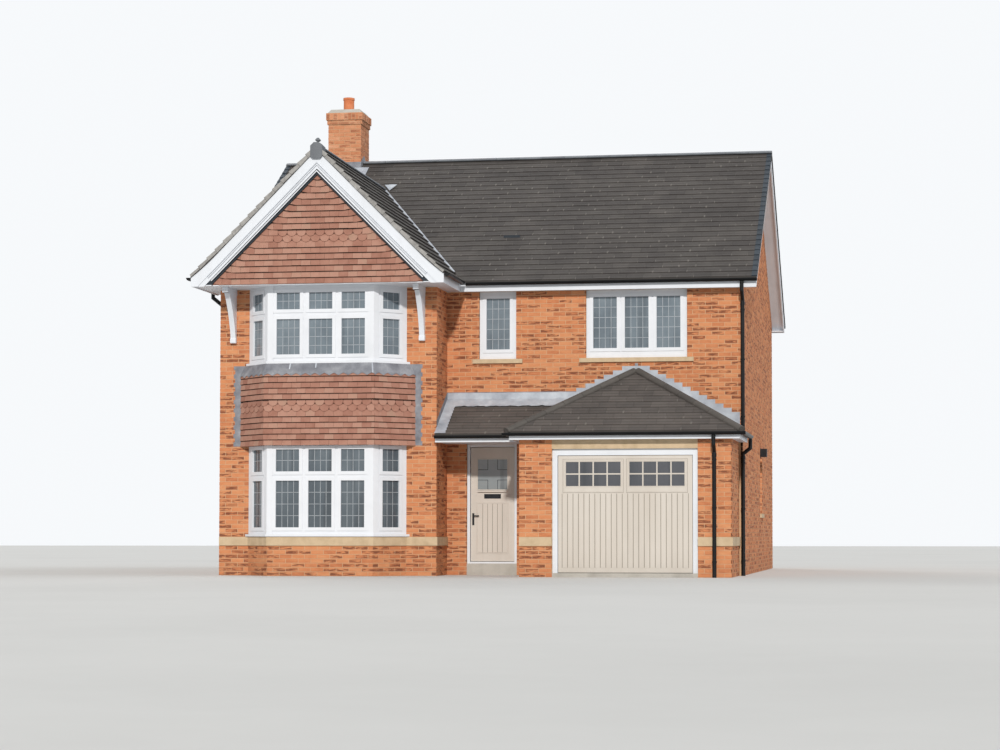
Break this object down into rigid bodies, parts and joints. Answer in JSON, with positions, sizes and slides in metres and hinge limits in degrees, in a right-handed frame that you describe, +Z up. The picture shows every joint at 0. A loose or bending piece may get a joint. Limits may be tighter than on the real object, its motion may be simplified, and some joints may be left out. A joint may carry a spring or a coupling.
{
  "type": "detached house",
  "caption": "Two-storey brick house with a tile-hung front gable over a canted bay, an integral garage with an up-and-over door, a lean-to porch and a chimney.",
  "frame": {"origin": "on the ground, at the centre of the main body's plan, under the main ridge", "axes": "+Z up; -Y is the front; +X is to the right when looking at the front"},
  "size_m": [9.8183, 10.8666, 9.456],
  "materials": {
    "brick": "facing brick, rough",
    "stone": "cast stone, matt",
    "concrete": "concrete, matt",
    "plaster": "plasterboard, matt",
    "roof_tile": "flat concrete tile, matt",
    "hung_tile": "clay tile, matt",
    "white_board": "white cellular board, satin",
    "dark_trim": "black trim, matt",
    "white_frame": "white window profile, satin",
    "glass": "leaded double glazing",
    "lead": "lead sheet, dull",
    "rainwater": "black rainwater goods, satin",
    "terracotta": "terracotta, matt",
    "door_paint": "stone grey paint, satin",
    "ironwork": "black, satin",
    "galvanised": "galvanised steel",
    "timber": "softwood"
  },
  "bodies": {
    "house": {"left_wall": "brick", "right_wall": "brick", "rear_wall": "brick", "front_wall_upper": "brick", "front_wall_beside_door": "brick", "gable_front_piers": "brick", "gable_front_beams": "brick", "gable_return_wall": "brick", "garage_side_walls": "brick", "garage_wall_plate": "timber", "ground_floor": "concrete", "garage_floor": "concrete", "first_floor": "timber", "upper_ceiling": "plaster", "bay_base_wall": "brick", "bay_window_frames": "white_frame", "bay_glass": "glass", "bay_skirt": "hung_tile", "bay_apron": "lead", "gable_tile_panel": "hung_tile", "gable_bargeboards": "white_board", "gable_verge_trim": "dark_trim", "jetty_brackets": "white_board", "main_roof_front": "roof_tile", "main_roof_rear": "roof_tile", "gable_roof_left": "roof_tile", "gable_roof_right": "roof_tile", "garage_roof": "roof_tile", "porch_roof": "roof_tile", "soffits": "white_board", "fascias": "white_board", "verge_boards": "white_board", "ridge_tiles": "roof_tile", "gable_finial": "roof_tile", "chimney_stack": "brick", "chimney_capping": "stone", "chimney_pot": "terracotta", "gutters": "rainwater", "downpipes": "rainwater", "stone_band": "stone", "stone_sills_and_lintel": "stone", "window_frames": "white_frame", "window_glass": "glass", "door_frame": "white_frame", "garage_door_frame": "white_board", "garage_door_tracks": "galvanised", "lead_flashings": "lead", "roof_vent": "roof_tile", "wall_lantern": "ironwork"},
    "front_door": {"front_door_leaf": "door_paint", "front_door_glass": "glass", "front_door_handle": "ironwork"},
    "garage_arms": {"garage_door_arms": "galvanised"},
    "garage_door": {"garage_door_leaf": "door_paint", "garage_door_glass": "glass", "garage_door_carriers": "galvanised"}
  },
  "joints": [
    {"name": "front_door_hinge", "type": "hinge", "parent": "house", "child": "front_door", "pos_m": [0.527, -4.166, 0.9], "axis": [0, 0, -1], "range_deg": [0, 90]},
    {"name": "garage_arm_pivot", "type": "hinge", "parent": "house", "child": "garage_arms", "pos_m": [2.7175, -5.84, 1.99], "axis": [1, 0, 0], "range_deg": [0, 84]},
    {"name": "garage_door_on_arms", "type": "hinge", "parent": "garage_arms", "child": "garage_door", "pos_m": [2.7175, -5.84, 1.05], "axis": [1, 0, 0], "range_deg": [-168, 0]}
  ],
  "couplings": [
    {"joint": "garage_door_on_arms", "follows": "garage_arm_pivot", "ratio": -2}
  ]
}
